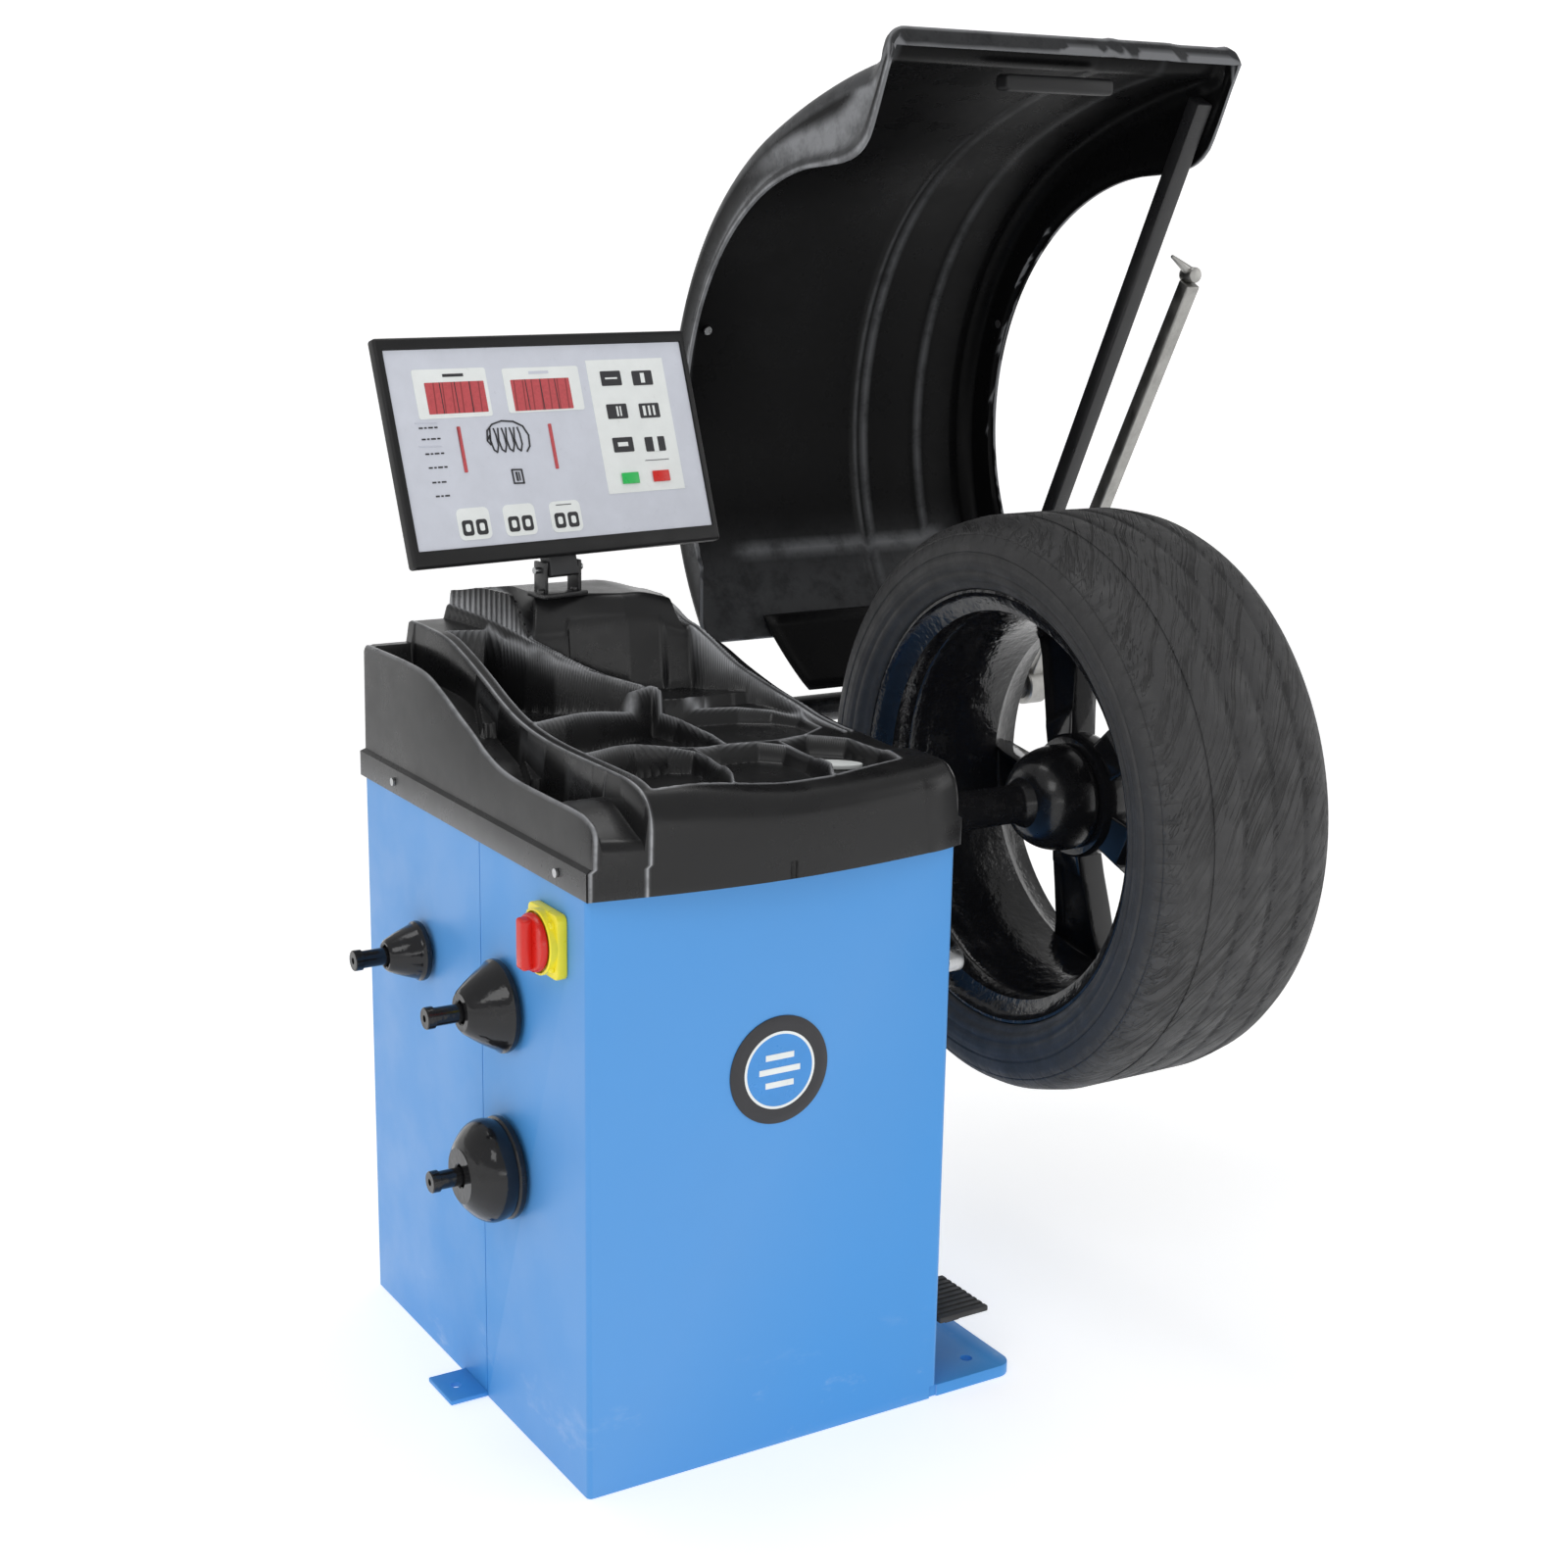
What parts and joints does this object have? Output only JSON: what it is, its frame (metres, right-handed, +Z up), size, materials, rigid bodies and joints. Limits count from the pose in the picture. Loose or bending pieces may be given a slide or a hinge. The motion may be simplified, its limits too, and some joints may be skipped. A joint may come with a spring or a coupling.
{
  "type": "wheel balancer",
  "caption": "Floor-standing wheel balancer with tool tray, tilting display, spindle carrying a tyred wheel, raised hood, gauges and brake pedal.",
  "frame": {"origin": "on the floor, under the middle of the cabinet's footprint", "axes": "+X out along the spindle to the wheel's side, +Y to the back of the machine, +Z up"},
  "size_m": [1.2613, 0.9861, 1.574],
  "materials": {
    "blue": "satin blue powder coat",
    "black_plastic": "satin black moulded plastic",
    "hood_black": "satin black moulded plastic, grained",
    "black_steel": "black painted steel",
    "cone_black": "glossy black finish on steel",
    "rim_black": "gloss black painted alloy",
    "steel": "bare steel",
    "zinc": "zinc-plated steel",
    "iron": "dark painted iron",
    "rubber": "black rubber",
    "tyre": "worn black tyre rubber",
    "panel_grey": "pale printed overlay",
    "green": "green key",
    "red": "red moulded plastic",
    "yellow": "yellow moulded plastic",
    "board_green": "circuit board in a tray",
    "motor_grey": "grey painted motor",
    "badge": "round printed disc"
  },
  "bodies": {
    "machine": {"base_plate": "blue", "foot_tab": "blue", "cabinet_shell": "blue", "rear_panel": "blue", "rear_screw_1": "steel", "rear_screw_2": "steel", "mains_inlet": "black_plastic", "badge": "badge", "weight_tray": "black_plastic", "tray_screw_1": "steel", "tray_screw_2": "steel", "spindle_housing": "iron", "bearing_1": "steel", "bearing_2": "steel", "support_column": "iron", "force_sensor_1": "steel", "force_sensor_2": "steel", "motor": "motor_grey", "motor_bracket": "iron", "drive_belt": "rubber", "control_board": "board_green", "brake_block": "iron", "pivot_bracket": "iron", "pivot_shaft": "black_steel", "distance_bush": "black_plastic", "display_fork": "iron", "tilt_bolt": "steel", "switch_plate": "yellow", "peg_small": "steel", "peg_medium": "steel", "peg_large": "steel"},
    "spindle": {"main_shaft": "black_steel", "shaft_pulley": "zinc", "encoder_disc": "steel"},
    "motor_drive": {"motor_pulley": "zinc"},
    "wheel": {"wheel_rim": "rim_black", "tyre": "tyre", "valve_stem": "rubber"},
    "clamp": {"centring_cone": "steel", "quick_nut": "black_steel"},
    "pedal": {"brake_arm": "iron", "pedal_pad": "rubber"},
    "brake_shoe": {"brake_rod": "steel"},
    "hood": {"hood_shell": "hood_black", "hood_arm": "black_steel", "hood_bolt_1": "steel", "hood_bolt_2": "steel"},
    "width_gauge": {"gauge_arm": "zinc", "gauge_finger": "zinc"},
    "distance_gauge": {"distance_rod": "steel"},
    "distance_pointer": {"distance_head": "iron"},
    "display": {"display_housing": "black_plastic", "display_panel": "panel_grey"},
    "start_button": {"start_key": "green"},
    "stop_button": {"stop_key": "red"},
    "power_knob": {"switch_knob": "red"},
    "small_cone": {"cone_small": "cone_black"},
    "medium_cone": {"cone_medium": "cone_black"},
    "large_cone": {"cone_large": "cone_black"}
  },
  "joints": [
    {"name": "spindle_spin", "type": "hinge", "parent": "machine", "child": "spindle", "pos_m": [0, -0.0648, 0.641], "axis": [1, 0, 0], "continuous": true},
    {"name": "motor_spin", "type": "hinge", "parent": "machine", "child": "motor_drive", "pos_m": [0, 0.11, 0.48], "axis": [1, 0, 0], "continuous": true},
    {"name": "wheel_slide", "type": "slide", "parent": "spindle", "child": "wheel", "axis": [1, 0, 0], "range_m": [0, 0.105]},
    {"name": "nut_slide", "type": "slide", "parent": "spindle", "child": "clamp", "axis": [1, 0, 0], "range_m": [0, 0.105]},
    {"name": "pedal_press", "type": "hinge", "parent": "machine", "child": "pedal", "pos_m": [0, -0.155, 0.085], "axis": [1, 0, 0], "range_deg": [0, 4], "stiffness_Nm_per_rad": 60, "springref_deg": -1.72},
    {"name": "shoe_lift", "type": "slide", "parent": "machine", "child": "brake_shoe", "axis": [0, 0, 1], "range_m": [0, 0.0064]},
    {"name": "hood_swing", "type": "hinge", "parent": "machine", "child": "hood", "pos_m": [0.5, 0.452, 0.6624], "axis": [1, 0, 0], "range_deg": [0, 52]},
    {"name": "width_gauge_swing", "type": "hinge", "parent": "machine", "child": "width_gauge", "pos_m": [0.906, 0.452, 0.6624], "axis": [1, 0, 0], "range_deg": [0, 62]},
    {"name": "distance_slide", "type": "slide", "parent": "machine", "child": "distance_gauge", "axis": [1, 0, 0], "range_m": [0, 0.14]},
    {"name": "distance_turn", "type": "hinge", "parent": "distance_gauge", "child": "distance_pointer", "pos_m": [0.27, -0.24, 0.52], "axis": [1, 0, 0], "range_deg": [-40, 90]},
    {"name": "display_tilt", "type": "hinge", "parent": "machine", "child": "display", "pos_m": [-0.0396, 0.15, 0.945], "axis": [0.9882, 0.1534, 0], "range_deg": [-10, 20]},
    {"name": "start_press", "type": "slide", "parent": "display", "child": "start_button", "axis": [-0.1462, 0.9417, -0.3032], "range_m": [0, 0.0008], "stiffness_N_per_m": 1500, "springref_m": -0.0004},
    {"name": "stop_press", "type": "slide", "parent": "display", "child": "stop_button", "axis": [-0.1462, 0.9417, -0.3032], "range_m": [0, 0.0008], "stiffness_N_per_m": 1500, "springref_m": -0.0004},
    {"name": "power_turn", "type": "hinge", "parent": "machine", "child": "power_knob", "pos_m": [-0.25, -0.224, 0.617], "axis": [-1, 0, 0], "range_deg": [0, 90]},
    {"name": "small_cone_off", "type": "slide", "parent": "machine", "child": "small_cone", "axis": [-1, 0, 0], "range_m": [0, 0.1]},
    {"name": "medium_cone_off", "type": "slide", "parent": "machine", "child": "medium_cone", "axis": [-1, 0, 0], "range_m": [0, 0.1]},
    {"name": "large_cone_off", "type": "slide", "parent": "machine", "child": "large_cone", "axis": [-1, 0, 0], "range_m": [0, 0.1]}
  ],
  "couplings": [
    {"joint": "motor_spin", "follows": "spindle_spin", "ratio": 3},
    {"joint": "nut_slide", "follows": "wheel_slide", "ratio": 1},
    {"joint": "shoe_lift", "follows": "pedal_press", "m_per_rad": 0.0902}
  ]
}
